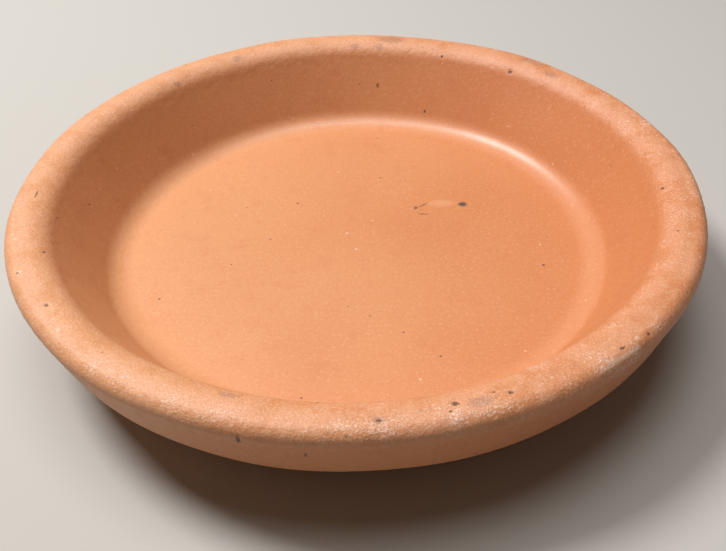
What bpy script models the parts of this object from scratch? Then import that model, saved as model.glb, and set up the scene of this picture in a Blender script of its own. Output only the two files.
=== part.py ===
"""Terracotta plant-pot saucer: one round dish of fired clay, open at the top.

Frame: origin at the centre of the foot, +Z up along the turning axis, metres.
The dish is one closed solid, turned about +Z from a single section. The section runs from the
middle of the underside out to the foot, up the lower wall and the collar, over the rim, down
the inner wall and in along the floor. Every place in it follows from the sizes below.
"""

import math

import bpy
from mathutils import Vector

# Overall sizes
RIM_RADIUS = 0.0750  # widest radius, at the outside of the crown
HEIGHT = 0.0265  # from the surface that it stands on to the top of the rim

# Inside
FLOOR_THICKNESS = 0.0067  # clay under the pot, outside the recess
RIM_WIDTH = 0.0075  # from the widest radius in to the inner wall's line, level with the top
INNER_SLOPE = math.radians(30)  # lean of the inner wall, from upright
FLOOR_FILLET = 0.0065  # floor to inner wall
LIP_RADIUS = 0.0060  # inner wall to the top of the rim

# Rim and collar
CROWN_RADIUS = 0.0026  # top of the rim, round to the collar's side
COLLAR_DEPTH = 0.0130  # from the top of the rim to the collar's lower edge
COLLAR_TAPER = math.radians(15)  # lean of the collar's side, from upright
COLLAR_STEP = 0.0014  # how far the collar stands out from the lower wall
COLLAR_EDGE_RADIUS = 0.0016  # lower edge of the collar
COVE_RADIUS = 0.0010  # hollow corner between the collar and the lower wall

# Foot and underside
HEEL_OVERHANG = 0.0036  # how far the foot reaches out past the foot of the inner wall
HEEL_RADIUS = 0.0024  # lower wall to foot
FOOT_WIDTH = 0.0085  # flat ring that the dish stands on, heel included
RECESS_DEPTH = 0.0010  # underside, inside the foot ring
RECESS_FILLET = 0.0008  # edge of the recess to its flat

# Fineness of the faceted solid
TURN_STEPS = 96  # facets around the axis
ARC_STEP = math.radians(15)  # largest turn between two points of a rounded corner
TOP_FLAT = 0.0003  # least flat left on top of the rim, between the crown's arc and the lip's
AXIS_MERGE = 0.00002  # joins the ring of points where the section meets the axis

CLAY_COLOUR = (0.66, 0.285, 0.135, 1.0)  # linear
CLAY_ROUGHNESS = 0.85


def clear_scene():
    """Removes every object that the file opened with."""
    for obj in list(bpy.data.objects):
        bpy.data.objects.remove(obj, do_unlink=True)


def half_angle(before, corner, after):
    """Half of the angle between the two sides that meet at a corner."""
    return (before - corner).angle(after - corner) / 2


def rounded_corner(before, corner, after, reach):
    """The points of the arc that leaves both sides of a corner at the same reach from it."""
    into = (before - corner).normalized()
    out = (after - corner).normalized()
    half = half_angle(before, corner, after)
    radius = reach * math.tan(half)
    centre = corner + (into + out).normalized() * (radius / math.sin(half))
    turn = math.pi - 2 * half
    steps = max(2, math.ceil(turn / ARC_STEP))
    spoke = corner + into * reach - centre
    side = 1 if spoke.cross(corner + out * reach - centre) > 0 else -1
    points = []
    for i in range(steps + 1):
        angle = side * turn * i / steps
        cosine, sine = math.cos(angle), math.sin(angle)
        turned = Vector((spoke.x * cosine - spoke.y * sine, spoke.x * sine + spoke.y * cosine))
        points.append(centre + turned)
    return points


def rounded_outline(corners):
    """Turns corners (radius from the axis, height, corner radius) into the points of an outline.

    Two arcs on one side share its length: both shrink if they would meet.
    """
    places = [Vector((r, z)) for r, z, _ in corners]
    last = len(places) - 1
    reaches = [0.0] * (last + 1)
    for i in range(1, last):
        reaches[i] = corners[i][2] / math.tan(half_angle(places[i - 1], places[i], places[i + 1]))
    room = [1.0] * (last + 1)
    for i in range(last):
        length = (places[i + 1] - places[i]).length
        wanted = reaches[i] + reaches[i + 1]
        if wanted > 0.98 * length:
            share = 0.98 * length / wanted
            room[i] = min(room[i], share)
            room[i + 1] = min(room[i + 1], share)
    points = [places[0]]
    for i in range(1, last):
        if reaches[i] > 0:
            points += rounded_corner(places[i - 1], places[i], places[i + 1], reaches[i] * room[i])
        else:
            points.append(places[i])
    points.append(places[last])
    return points


def crown_radius():
    """Radius of the crown's arc, held to what the rim's width leaves beside the lip's arc.

    The widest place of the dish is on this arc, so it has to stay whole.
    """
    lip_reach = LIP_RADIUS * math.tan((math.pi / 2 - INNER_SLOPE) / 2)
    return min(CROWN_RADIUS, RIM_WIDTH - lip_reach - TOP_FLAT)


def collar_radius(height):
    """Radius of the collar's straight side at a height: it leaves the crown's arc at a tangent."""
    crown = crown_radius()
    below_widest = HEIGHT - crown - height
    across = crown - below_widest * math.sin(COLLAR_TAPER)
    return RIM_RADIUS - crown + across / math.cos(COLLAR_TAPER)


def dish_section():
    """The section of the dish, from the middle of the underside round to the middle of the floor."""
    collar_foot = HEIGHT - COLLAR_DEPTH
    collar_lower = collar_radius(collar_foot)
    inner_top = RIM_RADIUS - RIM_WIDTH
    inner_foot = inner_top - (HEIGHT - FLOOR_THICKNESS) * math.tan(INNER_SLOPE)
    heel = inner_foot + HEEL_OVERHANG
    recess_edge = heel - FOOT_WIDTH
    return rounded_outline([
        (0.0, RECESS_DEPTH, 0),
        (recess_edge - RECESS_DEPTH, RECESS_DEPTH, RECESS_FILLET),
        (recess_edge, 0.0, 0),
        (heel, 0.0, HEEL_RADIUS),
        (collar_lower - COLLAR_STEP, collar_foot, COVE_RADIUS),
        (collar_lower, collar_foot, COLLAR_EDGE_RADIUS),
        (collar_radius(HEIGHT), HEIGHT, crown_radius()),
        (inner_top, HEIGHT, LIP_RADIUS),
        (inner_foot, FLOOR_THICKNESS, FLOOR_FILLET),
        (0.0, FLOOR_THICKNESS, 0),
    ])


def clay_material():
    """Plain matt fired clay."""
    material = bpy.data.materials.new("terracotta")
    material.use_nodes = True
    shader = material.node_tree.nodes["Principled BSDF"]
    shader.inputs["Base Color"].default_value = CLAY_COLOUR
    shader.inputs["Roughness"].default_value = CLAY_ROUGHNESS
    shader.inputs["Metallic"].default_value = 0.0
    return material


def turned_dish():
    """The saucer: its section, screwed once around +Z.

    The screw wants a section at +X to run down its outer side, so the points go in backwards.
    """
    section = dish_section()[::-1]
    mesh = bpy.data.meshes.new("saucer")
    mesh.from_pydata(
        [(point.x, 0.0, point.y) for point in section],
        [(i, i + 1) for i in range(len(section) - 1)],
        [],
    )
    mesh.materials.append(clay_material())
    dish = bpy.data.objects.new("saucer", mesh)
    bpy.context.scene.collection.objects.link(dish)
    screw = dish.modifiers.new("turn about the axis", "SCREW")
    screw.axis = "Z"
    screw.angle = 2 * math.pi
    screw.steps = TURN_STEPS
    screw.render_steps = TURN_STEPS
    screw.use_merge_vertices = True
    screw.merge_threshold = AXIS_MERGE
    screw.use_smooth_shade = True
    return dish


clear_scene()
turned_dish()
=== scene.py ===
import bpy
import math
import numpy as np
from mathutils import Matrix, Vector


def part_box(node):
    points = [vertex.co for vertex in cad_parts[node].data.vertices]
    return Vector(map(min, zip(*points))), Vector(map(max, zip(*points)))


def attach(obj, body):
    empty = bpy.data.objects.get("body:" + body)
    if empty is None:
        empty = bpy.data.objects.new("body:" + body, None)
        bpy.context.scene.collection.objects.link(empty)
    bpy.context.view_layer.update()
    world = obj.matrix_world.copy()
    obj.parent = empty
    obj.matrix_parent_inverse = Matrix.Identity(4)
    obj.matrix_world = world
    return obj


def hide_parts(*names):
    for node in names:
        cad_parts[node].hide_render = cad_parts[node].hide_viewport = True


# Terracotta saucer for a plant pot. Metres in the scene, millimetres and degrees in the
# dictionaries. "turn" is the angle about +Z from +X, "out" the distance from the axis.

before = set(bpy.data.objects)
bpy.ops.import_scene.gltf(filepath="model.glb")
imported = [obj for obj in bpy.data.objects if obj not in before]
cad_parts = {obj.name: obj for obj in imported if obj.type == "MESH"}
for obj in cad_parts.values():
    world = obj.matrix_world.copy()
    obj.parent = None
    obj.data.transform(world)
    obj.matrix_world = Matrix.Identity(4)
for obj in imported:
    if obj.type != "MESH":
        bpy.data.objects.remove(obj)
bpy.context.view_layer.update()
mm = 0.001
dishLow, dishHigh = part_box("saucer")
rimRadius = max(dishHigh[0], dishHigh[1]) / mm
rimHeight = (dishHigh[2] - dishLow[2]) / mm
print("frame loaded, rim radius", round(rimRadius, 2), "mm, height", round(rimHeight, 2), "mm")


# what a user would change on the dish's shape, all in mm or degrees
dish = dict(
    floorThickness=6.7, rimWidth=7.5, innerSlope=30, floorFillet=6.5, lipRadius=6.0,
    crownRadius=2.6, collarDepth=13.0, collarTaper=15, collarStep=1.4, collarEdge=1.6,
    cove=1.0, heelOverhang=3.6, heelRadius=2.4, footWidth=8.5, recessDepth=1.0,
    recessFillet=0.8, arcStep=4,
    aroundRim=960, aroundWall=480, aroundMiddle=240,  # points to a ring, each twice the next
    rimWave=0.22, rimLift=0.25,  # how far the rim wanders sideways and up
    grainSize=1.6, grainDepth=0.018, crustGrain=0.95, crustDepth=0.03,
    ringGap=1.15, ringDepth=0.035, ringDrift=30,  # turning rings outside, and how they wander
    driftSize=26, driftDepth=0.06,  # broad unevenness of the whole dish
)


def arcCorners(corners):
    # A polyline with each corner replaced by the arc that touches both of its sides.
    # The arc's points turn evenly from the first tangent point to the second.
    places = np.array([c[:2] for c in corners], float)
    points = [places[:1]]
    for i in range(1, len(corners) - 1):
        before, corner, after = places[i - 1:i + 2]
        radius = corners[i][2]
        if radius == 0:
            points.append(corner[None])
            continue
        into = (before - corner) / np.linalg.norm(before - corner)
        out = (after - corner) / np.linalg.norm(after - corner)
        half = math.acos(float(into @ out)) / 2
        centre = corner + (into + out) / np.linalg.norm(into + out) * radius / math.sin(half)
        spoke = corner + into * radius / math.tan(half) - centre
        other = corner + out * radius / math.tan(half) - centre
        side = 1 if spoke[0] * other[1] - spoke[1] * other[0] > 0 else -1
        count = max(3, math.ceil((180 - 2 * math.degrees(half)) / dish["arcStep"]))
        angle = side * (math.pi - 2 * half) * np.linspace(0, 1, count)
        cosine, sine = np.cos(angle), np.sin(angle)
        turned = np.stack([spoke[0] * cosine - spoke[1] * sine, spoke[0] * sine + spoke[1] * cosine], 1)
        points.append(centre + turned)
    points.append(places[-1:])
    return np.concatenate(points)


def collarOut(height):
    # The collar's straight side, tangent to the crown's arc: how far out it is at a height.
    taper = math.radians(dish["collarTaper"])
    below = rimHeight - dish["crownRadius"] - height
    across = dish["crownRadius"] - below * math.sin(taper)
    return rimRadius - dish["crownRadius"] + across / math.cos(taper)


def dishSection():
    # Middle of the underside, foot, lower wall, collar, crown, lip, inner wall, middle of the floor.
    d = dish
    collarFoot = rimHeight - d["collarDepth"]
    lower = collarOut(collarFoot)
    innerTop = rimRadius - d["rimWidth"]
    innerFoot = innerTop - (rimHeight - d["floorThickness"]) * math.tan(math.radians(d["innerSlope"]))
    heel = innerFoot + d["heelOverhang"]
    recess = heel - d["footWidth"]
    return arcCorners([
        (0, d["recessDepth"], 0),
        (recess - d["recessDepth"], d["recessDepth"], d["recessFillet"]),
        (recess, 0, 0),
        (heel, 0, d["heelRadius"]),
        (lower - d["collarStep"], collarFoot, d["cove"]),
        (lower, collarFoot, d["collarEdge"]),
        (collarOut(rimHeight), rimHeight, d["crownRadius"]),
        (innerTop, rimHeight, d["lipRadius"]),
        (innerFoot, d["floorThickness"], d["floorFillet"]),
        (0, d["floorThickness"], 0),
    ])


section = dishSection()
along = np.concatenate([[0], np.cumsum(np.linalg.norm(np.diff(section, axis=0), axis=1))])
crest = int(np.argmax(section[:, 0]))  # the widest point; all after it is seen from above


def topHeight(out):
    # Height of the surface seen from above at a distance from the axis.
    return np.interp(out, section[crest:, 0][::-1], section[crest:, 1][::-1])


def atHeight(height, outer):
    # How far along the section the outer or the inner side passes a height.
    top = int(np.argmax(section[:, 1]))
    if outer:
        first = int(np.argmax(section[:, 0] > rimRadius * 0.7))
        return np.interp(height, section[first:top, 1], along[first:top])
    return np.interp(-height, -section[top:, 1], along[top:])


# pits in the clay, each an ellipse on the surface: long lies round the axis, wide across that,
# and up gives the height of one that isn't on the side seen from above
marks = [
    dict(turn=-143, out=71.0, long=1.3, wide=0.9, deep=0.30),
    dict(turn=-158, out=67.4, long=0.9, wide=0.7, deep=0.20),
    dict(turn=-153, out=73.0, long=0.8, wide=0.6, deep=0.20),
    dict(turn=-78, out=70.5, long=1.7, wide=1.3, deep=0.45),
    dict(turn=-79, out=71.9, long=0.8, wide=0.6, deep=0.20),
    dict(turn=-88, out=72.0, long=1.3, wide=0.9, deep=0.25),
    dict(turn=-8, out=67.1, long=1.2, wide=0.9, deep=0.30),
    dict(turn=-22, out=69.0, long=0.9, wide=0.7, deep=0.20),
    dict(turn=-48, out=73.7, long=1.1, wide=0.8, deep=0.30),
    dict(turn=-53, out=72.9, long=1.6, wide=0.7, deep=0.25),
    dict(turn=-105, out=75.0, up=23.4, long=1.0, wide=0.8, deep=0.30),
    dict(turn=-72.6, out=70.1, long=0.9, wide=0.6, deep=0.25),
    dict(turn=-70.6, out=71.2, long=1.3, wide=0.9, deep=0.35),
    dict(turn=49, out=66.4, long=1.7, wide=1.1, deep=0.40),
    dict(turn=67, out=66.4, long=0.9, wide=0.7, deep=0.20),
    dict(turn=-16, out=44.2, long=1.0, wide=0.9, deep=0.15),
    dict(turn=-68, out=43.1, long=0.7, wide=0.6, deep=0.10),
    dict(turn=-164, out=30.4, long=0.6, wide=0.6, deep=0.08),
    dict(turn=69, out=58.3, long=0.9, wide=0.7, deep=0.15),
]
print("shape worked out,", len(section), "points in the section")


def waves(points, size, seed):
    # Grain of one size: a sum of cosines in random directions, wavelengths size/1.4 to size/0.7.
    count = 28  # enough that no single wave shows
    rng = np.random.default_rng(seed)
    heading = rng.normal(size=(count, 3))
    heading /= np.linalg.norm(heading, axis=1)[:, None]
    spread = rng.uniform(0.7, 1.4, count) * 2 * np.pi / size
    phase = rng.uniform(0, 2 * np.pi, count)
    total = np.zeros(len(points))
    for i in range(count):
        total += np.cos(points @ (heading[i] * spread[i]) + phase[i])
    return total * math.sqrt(2 / count)


def step(low, high, value):
    # Smooth rise from 0 at low to 1 at high.
    share = np.clip((value - low) / (high - low), 0, 1)
    return share * share * (3 - 2 * share)


def ringPlan():
    # Where the rings lie along the section, and how many points each has: close at the rim.
    collarLine = atHeight(rimHeight - dish["collarDepth"] + 0.4, True)  # just over the collar's edge
    lipLine = atHeight(rimHeight - 5.5, False)  # on the inner wall, under the lip's arc
    total = along[-1]
    filletLine = total - (rimRadius - 24)  # on the floor, just inside its corner
    middle = total - 10
    footLine = 44.0  # inside the foot ring, where the underside is still flat
    # from, to, distance between rings, points to a ring
    zones = [
        (3.0, footLine, 3.0, dish["aroundMiddle"]),
        (footLine, collarLine, 1.25, dish["aroundWall"]),
        (collarLine, lipLine, 0.46, dish["aroundRim"]),
        (lipLine, filletLine, 0.85, dish["aroundWall"]),
        (filletLine, middle, 1.6, dish["aroundWall"]),
        (middle, total - 0.7, 1.3, dish["aroundMiddle"]),
    ]
    places, counts = [], []
    for start, end, gap, around in zones:
        number = max(1, round((end - start) / gap))
        places += list(start + (end - start) * np.arange(number) / number)
        counts += [around] * number
    return np.array(places), counts


def dishSurface():
    # A section carried round the axis. A point is (r cos a, r sin a, z) of the section at its ring,
    # pushed along the section's normal by the relief: waves of the rim, grain, crust, rings and marks.
    places, counts = ringPlan()
    ringAlong = np.repeat(places, counts)
    angle = np.concatenate([2 * np.pi * np.arange(n) / n for n in counts])
    out = np.interp(ringAlong, along, section[:, 0])
    height = np.interp(ringAlong, along, section[:, 1])
    ahead = 0.25  # half the length of section that a normal is taken over
    after, before = ringAlong + ahead, ringAlong - ahead
    slopeOut = np.interp(after, along, section[:, 0]) - np.interp(before, along, section[:, 0])
    slopeUp = np.interp(after, along, section[:, 1]) - np.interp(before, along, section[:, 1])
    length = np.hypot(slopeOut, slopeUp)
    normalOut, normalUp = slopeUp / length, -slopeOut / length
    points = np.stack([out * np.cos(angle), out * np.sin(angle), height], 1)

    # weights: the whole rim, its crown, the -Y side that has most crust, and the outer wall
    onRim = step(rimHeight - 9, rimHeight - 3, height) * step(60, 66, out)
    crownWeight = step(68, 72, out) * step(rimHeight - 5, rimHeight - 2.5, height)
    nearSide = 0.35 + 0.65 * step(-0.2, 0.9, np.cos(angle - math.radians(-70)))
    outside = step(69, 72, out) * (1 - step(rimHeight - 6, rimHeight - 4, height)) * step(3, 5, height)
    relief = dish["grainDepth"] * waves(points, dish["grainSize"], 11) * onRim
    crumbs = np.maximum(waves(points, dish["crustGrain"], 12), 0)
    relief += dish["crustDepth"] * crumbs * crownWeight * nearSide
    phase = 2 * np.pi * height / dish["ringGap"] + 0.6 * waves(points, dish["ringDrift"], 13)
    relief += dish["ringDepth"] * np.sin(phase) * outside
    relief += dish["driftDepth"] * waves(points, dish["driftSize"], 14) * step(0.5, 3, height)
    for mark in marks:
        relief += markRelief(points, mark)
    points[:, 0] += relief * normalOut * np.cos(angle)
    points[:, 1] += relief * normalOut * np.sin(angle)
    points[:, 2] += relief * normalUp
    # the rim wanders by a few waves round the axis, more the higher up the dish
    wobble = np.cos(3 * angle + 0.7) + 0.6 * np.cos(5 * angle + 2.1) + 0.4 * np.cos(11 * angle)
    wobble *= dish["rimWave"] / 2
    lift = np.cos(2 * angle + 2.6) + 0.7 * np.cos(7 * angle + 0.4) + 0.5 * np.cos(13 * angle + 1)
    lift *= dish["rimLift"] / 2
    share = step(rimHeight - 18, rimHeight - 3, height)
    points[:, 0] += wobble * share * np.cos(angle)
    points[:, 1] += wobble * share * np.sin(angle)
    points[:, 2] += (lift - dish["rimLift"] * 0.5) * share
    return points, counts


def markPlace(mark):
    # The centre of a mark: (out cos turn, out sin turn, height of the surface there).
    turn = math.radians(mark["turn"])
    up = mark.get("up", float(topHeight(mark["out"])))  # given only below the widest place
    return np.array([mark["out"] * math.cos(turn), mark["out"] * math.sin(turn), up])


def markRelief(points, mark):
    # A bell-shaped dent: depth times exp(-8 d^2), d the distance over the ellipse's long and wide.
    turn = math.radians(mark["turn"] + 90)
    rel = points - markPlace(mark)
    alongIt = rel[:, 0] * math.cos(turn) + rel[:, 1] * math.sin(turn)
    acrossIt = -rel[:, 0] * math.sin(turn) + rel[:, 1] * math.cos(turn)
    size = (alongIt / mark["long"]) ** 2 + (acrossIt / mark["wide"]) ** 2 + (rel[:, 2] / mark["wide"]) ** 2
    return -mark["deep"] * np.exp(-8 * size)


def ringFaces(counts):
    # Quads between rings of one count, three triangles to a coarse side where the count doubles,
    # and a fan at each pole. Points are numbered ring by ring, then the two poles.
    starts = np.concatenate([[0], np.cumsum(counts)])
    quads, triangles = [], []
    for k in range(len(counts) - 1):
        a, b = counts[k], counts[k + 1]
        if a == b:
            i = np.arange(a)
            j = (i + 1) % a
            quads.append(np.stack([starts[k] + i, starts[k] + j, starts[k + 1] + j, starts[k + 1] + i], 1))
            continue
        few, low, high = (a, starts[k], starts[k + 1]) if a < b else (b, starts[k + 1], starts[k])
        i = np.arange(few)
        j = (i + 1) % few
        f0, f1, f2 = high + 2 * i, high + 2 * i + 1, high + (2 * i + 2) % (2 * few)
        fan = [(low + i, f1, f0), (low + i, low + j, f1), (low + j, f2, f1)]
        for one in fan:
            one = np.stack(one, 1)
            triangles.append(one if a < b else one[:, ::-1])
    last = starts[-1]
    i = np.arange(counts[0])
    triangles.append(np.stack([np.full(counts[0], last), (i + 1) % counts[0], i], 1))
    i = np.arange(counts[-1])
    final = starts[len(counts) - 1]
    triangles.append(np.stack([np.full(counts[-1], last + 1), final + i, final + (i + 1) % counts[-1]], 1))
    return np.concatenate(quads), np.concatenate(triangles)


def makeDish():
    # The rings and the two poles as one closed, smooth mesh, scaled from millimetres to metres.
    points, counts = dishSurface()
    poles = np.array([[0, 0, dish["recessDepth"]], [0, 0, float(topHeight(0))]])
    points = np.concatenate([points, poles])
    quads, triangles = ringFaces(counts)
    mesh = bpy.data.meshes.new("firedSaucer")
    mesh.from_pydata((points * mm).tolist(), [], quads.tolist() + triangles.tolist())
    mesh.update()
    mesh.shade_smooth()
    piece = bpy.data.objects.new("firedSaucer", mesh)
    bpy.context.scene.collection.objects.link(piece)
    print("dish made,", 2 * len(quads) + len(triangles), "triangles")
    return piece


def linear(hexColour):
    # The sRGB curve undone: c / 12.92 in the darkest tones, ((c + 0.055) / 1.055)^2.4 above them.
    parts = [int(hexColour[i:i + 2], 16) / 255 for i in (1, 3, 5)]
    return [c / 12.92 if c <= 0.04045 else ((c + 0.055) / 1.055) ** 2.4 for c in parts] + [1.0]


def addNode(tree, kind, given):
    # One node, handed back as its outputs. A given name is an attribute or an input and a given
    # number is an input; an input takes a value or another node's output.
    node = tree.nodes.new("ShaderNode" + kind)
    for name, value in given.items():
        if isinstance(name, str) and name not in node.inputs:
            setattr(node, name, value)
        elif isinstance(value, bpy.types.NodeSocket):
            tree.links.new(value, node.inputs[name])
        else:
            node.inputs[name].default_value = value
    return node.outputs


# stains, grains and scrapes that only colour the clay, placed like the pits and turned by lean
stains = [
    dict(kind="brown", turn=38.4, out=19.2, long=0.8, wide=0.5, lean=-60),
    dict(kind="brown", turn=37.4, out=21.4, long=1.6, wide=0.24, lean=-92),
    dict(kind="brown", turn=28.6, out=19.0, long=1.3, wide=0.24, lean=-129),
    dict(kind="grey", turn=25.5, out=29.9, long=1.15, wide=1.0, lean=-115),
    dict(kind="ochre", turn=23.8, out=27.8, long=1.5, wide=0.7, lean=-78),
    dict(kind="scraped", turn=32.2, out=25.5, long=3.6, wide=1.6, lean=-122),
    dict(kind="pale", turn=138, out=3.1, long=0.4, wide=0.3),
    dict(kind="pale", turn=-93, out=4.3, long=0.4, wide=0.3),
    dict(kind="brown", turn=133.5, out=21.5, long=0.4, wide=0.3),
    dict(kind="brown", turn=-156, out=48.1, long=0.4, wide=0.3),
    dict(kind="brown", turn=-175, out=69.6, long=1.5, wide=0.2),
    dict(kind="brown", turn=-97, out=74.3, up=20.6, long=0.3, wide=0.25),
    dict(kind="brown", turn=83, out=61.5, long=0.5, wide=0.4),
    dict(kind="pale", turn=-162, out=72.3, long=0.4, wide=0.35),
    dict(kind="pale", turn=-153, out=72.4, long=0.4, wide=0.3),
    dict(kind="pale", turn=-137, out=72.3, long=0.5, wide=0.4),
    dict(kind="pale", turn=-50, out=73.0, long=0.5, wide=0.4),
    dict(kind="pale", turn=-54.5, out=74.0, long=5.0, wide=0.35),
    dict(kind="grime", turn=-74.8, out=71.3, long=2.2, wide=1.1),
    dict(kind="grime", turn=-88, out=72.0, long=1.4, wide=0.8),
    dict(kind="grime", turn=-108, out=68.9, long=1.8, wide=0.8),
    dict(kind="grime", turn=80, out=70.5, long=4.4, wide=1.9),
    dict(kind="grime", turn=83, out=67.4, long=1.2, wide=0.9),
    dict(kind="grime", turn=89, out=67.6, long=1.2, wide=0.9),
    dict(kind="grime", turn=118, out=68.6, long=1.6, wide=1.0),
    dict(kind="grime", turn=135, out=67.2, long=1.0, wide=0.7),
    dict(kind="grime", turn=39.7, out=69.3, long=2.2, wide=1.0),
    dict(kind="grime", turn=46, out=71.5, long=3.5, wide=1.2),
]

# lime crust on the rim: its middle turn, the cosine of how far it reaches round from there,
# where it starts, is full, fades and ends going outwards, and how much of it there is
crusts = [
    dict(turn=-97, close=0.70, start=70.4, full=72.2, fade=73.8, end=75.2, share=0.54),
    dict(turn=-71, close=0.955, start=69.4, full=71.2, fade=73.4, end=74.8, share=0.95),
    dict(turn=-57, close=0.985, start=65.6, full=66.8, fade=67.8, end=69.2, share=0.60),
    dict(turn=-51, close=0.990, start=72.0, full=73.4, fade=74.4, end=75.4, share=0.70),
    dict(turn=4, close=0.90, start=65.8, full=67.2, fade=69.6, end=72.4, share=0.70),
    dict(turn=4, close=0.94, start=70.6, full=72.4, fade=74.0, end=75.2, share=0.75),
    dict(turn=-27, close=0.94, start=65.4, full=66.6, fade=67.4, end=68.6, share=0.42),
]

# what a user would change on the clay: colours, pattern sizes and bump depths in mm, shares 0 to 1
# fine sand in pressed clay is 0.1 to 0.5 mm; grain and sand are drawn at 0.4 to 0.8 so that they show
clay = dict(
    # the dust colour also paints the highlight round the floor's corner
    orange="#C57C4D", beige="#CF8F60", deep="#B9663A", dustAndSheen="#F2BD9D", crust="#F4D3C0",
    # the pit colour is painted shade for the hollows of the pits
    pitShade="#4A2F22", grey="#3F403C", brown="#74492A", ochre="#C98A45", scraped="#EBB58F",
    pale="#F5D2B8", grime="#7F6259", scuff="#E3AE8B",
    broad=42.0, mottle=5.0, grain=0.75, sand=0.42, speck=2.3, crustSize=0.42, crustPatch=6.3,
    mottleShare=0.18, grainShare=0.20, sandShare=0.40, dustShare=0.24,
    # the burnish share paints the floor's corner paler as a painted highlight; burnish only makes it
    # smoother
    roughness=0.52, roughSpread=0.14, burnish=0.15, paintedSheenShare=0.14, crustRough=0.2,
    grainBump=0.045, sandBump=0.12, pitBump=0.05, crustBump=0.035,
    # the pit share is how strongly the painted shade fills each pit
    fray=1.4, markDepth=0.9, darkSpeck=0.75, paleSpeck=0.6, scuffShare=0.7, pitShadeShare=0.8,
)


def shareWhere(tree, *factors):
    # Product of the factors. A factor is a share, or (field, low, high): a smooth rise from 0 to 1
    # as the field goes from low to high, and a fall where low is the larger.
    share = 1.0
    for factor in factors:
        if isinstance(factor, tuple):
            field, low, high = factor
            given = {"interpolation_type": "SMOOTHSTEP", 0: field, 1: low, 2: high}
            factor = addNode(tree, "MapRange", given)[0]
        share = addNode(tree, "Math", {"operation": "MULTIPLY", 0: share, 1: factor})[0]
    return share


def weightedSum(tree, start, *terms):
    # start plus field times weight, over all the (field, weight) terms.
    total = start
    for field, weight in terms:
        given = {"operation": "MULTIPLY_ADD", 0: field, 1: weight, 2: total}
        total = addNode(tree, "Math", given)[0]
    return total


def nearest(tree, place, group, reach=1.0):
    # Smallest distance to any mark of a group, over that mark's long and wide times reach.
    low = 1000.0  # further than any mark
    for mark in group:
        turn = math.radians(mark["turn"] + 90 + mark.get("lean", 0))
        wide = mark["wide"] * reach
        local = addNode(tree, "Mapping", {
            "vector_type": "TEXTURE", "Vector": place, "Location": tuple(markPlace(mark)),
            "Rotation": (0, 0, turn), "Scale": (mark["long"] * reach, wide, wide + clay["markDepth"]),
        })[0]
        far = addNode(tree, "VectorMath", {"operation": "LENGTH", 0: local})["Value"]
        low = addNode(tree, "Math", {"operation": "MINIMUM", 0: low, 1: far})[0]
    return low


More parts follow.
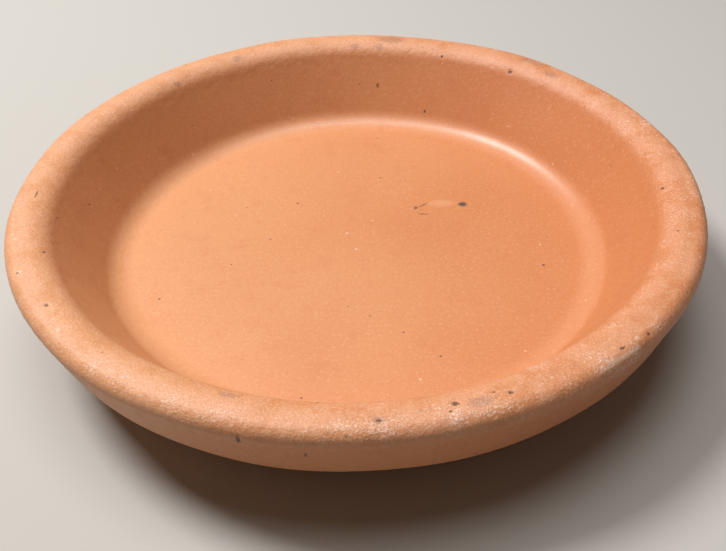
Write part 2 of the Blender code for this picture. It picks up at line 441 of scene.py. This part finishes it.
def firedClay():
    # Pressed and fired earthenware: matt orange clay with a sandy grain, paler dust on the rim,
    # lime crust where it stood wet, open pits darkened by painted shade, a few dark grains and a painted
    # highlight round the floor's corner; it looks dry and a little soft.
    material = bpy.data.materials.new("pressedFiredEarthenware")
    material.use_nodes = True
    tree = material.node_tree
    shader = tree.nodes["Principled BSDF"]
    where = addNode(tree, "TexCoord", {})["Object"]
    place = addNode(tree, "VectorMath", {"operation": "SCALE", 0: where, "Scale": 1 / mm})[0]
    axes = addNode(tree, "SeparateXYZ", {0: place})
    level = addNode(tree, "VectorMath", {"operation": "MULTIPLY", 0: place, 1: (1, 1, 0)})[0]
    out = addNode(tree, "VectorMath", {"operation": "LENGTH", 0: level})["Value"]
    up = axes["Z"]

    # noise with features of each pattern's size, 0 to 1 round 0.5: finer layers and their strength
    noises = dict(
        broad=(2.0, 0.55), mottle=(4.0, 0.6), grain=(3.0, 0.65),
        sand=(2.0, 0.7), crustPatch=(3.0, 0.55), crustSize=(3.0, 0.75),
    )
    fields = {}
    for name, (detail, strength) in noises.items():
        given = {"Vector": place, "Scale": 1 / clay[name], "Detail": detail, "Roughness": strength}
        fields[name] = addNode(tree, "TexNoise", given)["Fac"]
    mottle, grain, sand, granule = (fields[name] for name in ("mottle", "grain", "sand", "crustSize"))
    top = shareWhere(tree, (up, rimHeight - 4.5, rimHeight - 0.6))

    # the body goes from orange to beige across the dish and in broad clouds
    across = weightedSum(tree, 0.0, (fields["broad"], 90), (axes["X"], -1))
    beige = shareWhere(tree, (across, -10, 95))

    # sand: a few cells hold a dark or a pale speck at their point, more of them dark on the rim
    cells = addNode(tree, "TexVoronoi", {"Vector": place, "Scale": 1 / clay["speck"]})
    pick = addNode(tree, "SeparateColor", {0: cells["Color"]})
    speck = shareWhere(tree, (cells["Distance"], 0.16, 0.08))
    rare = weightedSum(tree, 0.972, (top, -0.05))
    isDark = addNode(tree, "Math", {"operation": "GREATER_THAN", 0: pick[0], 1: rare})[0]
    isPale = addNode(tree, "Math", {"operation": "GREATER_THAN", 0: pick[1], 1: 0.975})[0]
    dark = shareWhere(tree, speck, isDark)
    pale = shareWhere(tree, speck, isPale)

    # the corner round the floor is rubbed smooth by the forming tool; its paler colour is a painted
    # highlight (sheen)
    corner = shareWhere(tree, (out, 51, 54.5), (up, 10.5, 8.0), (up, 5.5, 6.0))

    # lime crust: granules inside each patch of the rim
    crusted = 0.0
    for one in crusts:
        turn = math.radians(one["turn"])
        heading = (math.cos(turn), math.sin(turn), 0)
        facing = addNode(tree, "VectorMath", {"operation": "DOT_PRODUCT", 0: place, 1: heading})["Value"]
        cosine = addNode(tree, "Math", {"operation": "DIVIDE", 0: facing, 1: out})[0]
        around = (cosine, one["close"], 0.5 + one["close"] / 2)
        outwards = (out, one["start"], one["full"]), (out, one["end"], one["fade"])
        there = shareWhere(tree, around, *outwards, one["share"])
        crusted = addNode(tree, "Math", {"operation": "MAXIMUM", 0: crusted, 1: there})[0]
    lumps = weightedSum(tree, granule, (fields["crustPatch"], 0.8))
    crusted = shareWhere(tree, crusted, (lumps, 0.93, 1.20), (up, rimHeight - 4.5, rimHeight - 3))

    # what lies on the orange body, lowest first: where, its colour, and how much of it covers
    layers = [
        (beige, "beige", 1.0),
        (shareWhere(tree, (mottle, 0.50, 0.72)), "deep", clay["mottleShare"]),
        (shareWhere(tree, (grain, 0.52, 0.75)), "deep", clay["grainShare"]),
        (shareWhere(tree, (grain, 0.48, 0.28)), "dustAndSheen", clay["grainShare"]),
        (dark, "brown", clay["darkSpeck"]),
        (pale, "dustAndSheen", clay["paleSpeck"]),
        # painted highlight: the corner round the floor drawn in the dust colour
        (corner, "dustAndSheen", clay["paintedSheenShare"]),
        (shareWhere(tree, top, (mottle, 0.30, 0.62)), "dustAndSheen", clay["dustShare"]),
        (shareWhere(tree, top, (sand, 0.55, 0.72)), "crust", clay["sandShare"]),
        (shareWhere(tree, top, (sand, 0.45, 0.30)), "deep", clay["sandShare"]),
        (crusted, "crust", 1.0),
        (shareWhere(tree, (up, 0.5, 0.1), (mottle, 0.35, 0.6)), "scuff", clay["scuffShare"]),  # foot ring
    ]
    # marks last, their edges frayed by the granules
    fray = weightedSum(tree, -0.5 * clay["fray"], (granule, clay["fray"]))
    covers = dict(scraped=0.22, ochre=0.45, grime=0.34, pale=0.45, brown=0.75, grey=0.9)
    for kind, most in covers.items():
        group = [mark for mark in stains if mark["kind"] == kind]
        far = weightedSum(tree, fray, (nearest(tree, place, group), 1))
        layers.append((shareWhere(tree, (far, 1.25, 0.6)), kind, most))
    # pits: each dent is darkened with the pit colour as painted shade in its hollow
    far = weightedSum(tree, fray, (nearest(tree, place, marks, 0.36), 1))
    pitDentAndShade = shareWhere(tree, (far, 1.3, 0.6))
    layers.append((pitDentAndShade, "pitShade", clay["pitShadeShare"]))

    colour = linear(clay["orange"])
    for share, name, most in layers:
        part = shareWhere(tree, share, most)
        given = {"data_type": "RGBA", 0: part, 6: colour, 7: linear(clay[name])}
        colour = addNode(tree, "Mix", given)[2]
    tree.links.new(colour, shader.inputs["Base Color"])

    smoothest = clay["roughness"] - clay["roughSpread"] / 2
    rough = weightedSum(
        tree, smoothest,
        (mottle, clay["roughSpread"]), (crusted, clay["crustRough"]), (corner, -clay["burnish"]),
    )
    tree.links.new(rough, shader.inputs["Roughness"])

    rimSand = shareWhere(tree, sand, top)
    height = weightedSum(
        tree, 0.0,
        (grain, clay["grainBump"]), (crusted, clay["crustBump"]), (rimSand, clay["sandBump"]),
        (pitDentAndShade, -clay["pitBump"]), (dark, -clay["pitBump"]),
    )
    bump = addNode(tree, "Bump", {"Strength": 1.0, "Distance": mm, "Height": height})
    tree.links.new(bump[0], shader.inputs["Normal"])
    print("clay made,", len(tree.nodes), "nodes")
    return material


saucer = makeDish()
saucer.data.materials.append(firedClay())
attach(saucer, "root")
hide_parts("saucer")


# studio: a pale floor, a soft key high on the left and behind, a broad light overhead, a pale room
# metres, degrees and watts; a light's size is its diameter
studio = dict(
    floorColour="#B6B2AC", floorSize=3.0, floorRoughness=0.8,
    lightFar=0.9, lightColour="#FFFFFF",
    keyTurn=153, keyHeight=58, keySize=0.28, keyPower=8.3,
    topTurn=95, topHeight=84, topSize=0.55, topPower=3.7,
    roomColour="#FFE8D0", roomLight=0.10,
)


def makeFloor():
    # Painted board: one pale square level with the foot, matt so that it only takes the shadow.
    half = studio["floorSize"] / 2
    mesh = bpy.data.meshes.new("studioFloor")
    corners = [(-half, -half, 0), (half, -half, 0), (half, half, 0), (-half, half, 0)]
    mesh.from_pydata(corners, [], [(0, 1, 2, 3)])
    floor = bpy.data.objects.new("studioFloor", mesh)
    bpy.context.scene.collection.objects.link(floor)
    material = bpy.data.materials.new("paintedBoard")
    material.use_nodes = True
    shader = material.node_tree.nodes["Principled BSDF"]
    shader.inputs["Base Color"].default_value = linear(studio["floorColour"])
    shader.inputs["Roughness"].default_value = studio["floorRoughness"]
    mesh.materials.append(material)


def makeLight(name, part):
    # A round soft light aimed at the origin, from a turn and a height over the horizon.
    turn, rise = math.radians(studio[part + "Turn"]), math.radians(studio[part + "Height"])
    way = Vector((math.cos(rise) * math.cos(turn), math.cos(rise) * math.sin(turn), math.sin(rise)))
    light = bpy.data.lights.new(name, "AREA")
    light.shape = "DISK"
    light.size = studio[part + "Size"]
    light.energy = studio[part + "Power"]
    light.color = linear(studio["lightColour"])[:3]
    lamp = bpy.data.objects.new(name, light)
    bpy.context.scene.collection.objects.link(lamp)
    lamp.location = way * studio["lightFar"]
    lamp.rotation_euler = way.to_track_quat("Z", "Y").to_euler()


def makeRoom():
    # An even pale light from all round, which lifts the shadows a little.
    world = bpy.data.worlds.new("paleRoom")
    bpy.context.scene.world = world
    world.use_nodes = True
    background = world.node_tree.nodes["Background"]
    background.inputs["Color"].default_value = linear(studio["roomColour"])
    background.inputs["Strength"].default_value = studio["roomLight"]


# camera: stands off on the -Y side and looks down; pan, tilt and roll turn it from there
# away is in rim radii, level and lens in mm, the rest in degrees
eye = dict(away=2.387, level=21.3, rise=33.62, pan=0.37, tilt=-6.45, roll=-1.76, lens=38.68, sensor=36.0)


def makeCamera():
    # The eye stands back from a point on the axis; pan, tilt and roll then turn its three axes.
    rise, pan, tilt, roll = (math.radians(eye[k]) for k in ("rise", "pan", "tilt", "roll"))
    right = Vector((1, 0, 0))
    back = Vector((0, -math.cos(rise), math.sin(rise)))
    up = Vector((0, math.sin(rise), math.cos(rise)))
    place = back * eye["away"] * rimRadius * mm + Vector((0, 0, eye["level"] * mm))
    right, back = right * math.cos(pan) + back * math.sin(pan), back * math.cos(pan) - right * math.sin(pan)
    up, back = up * math.cos(tilt) + back * math.sin(tilt), back * math.cos(tilt) - up * math.sin(tilt)
    right, up = right * math.cos(roll) + up * math.sin(roll), up * math.cos(roll) - right * math.sin(roll)
    lens = bpy.data.cameras.new("eye")
    lens.sensor_width = eye["sensor"]
    lens.lens = eye["lens"]
    lens.clip_start = 0.01  # metres, as the eye is close
    camera = bpy.data.objects.new("eye", lens)
    bpy.context.scene.collection.objects.link(camera)
    camera.matrix_world = Matrix.Translation(place) @ Matrix((right, up, back)).transposed().to_4x4()
    bpy.context.scene.camera = camera


makeFloor()
makeLight("keyLight", "key")
makeLight("ceilingLight", "top")
makeRoom()
makeCamera()
bpy.context.scene.view_settings.view_transform = "Standard"
print("studio and camera placed")
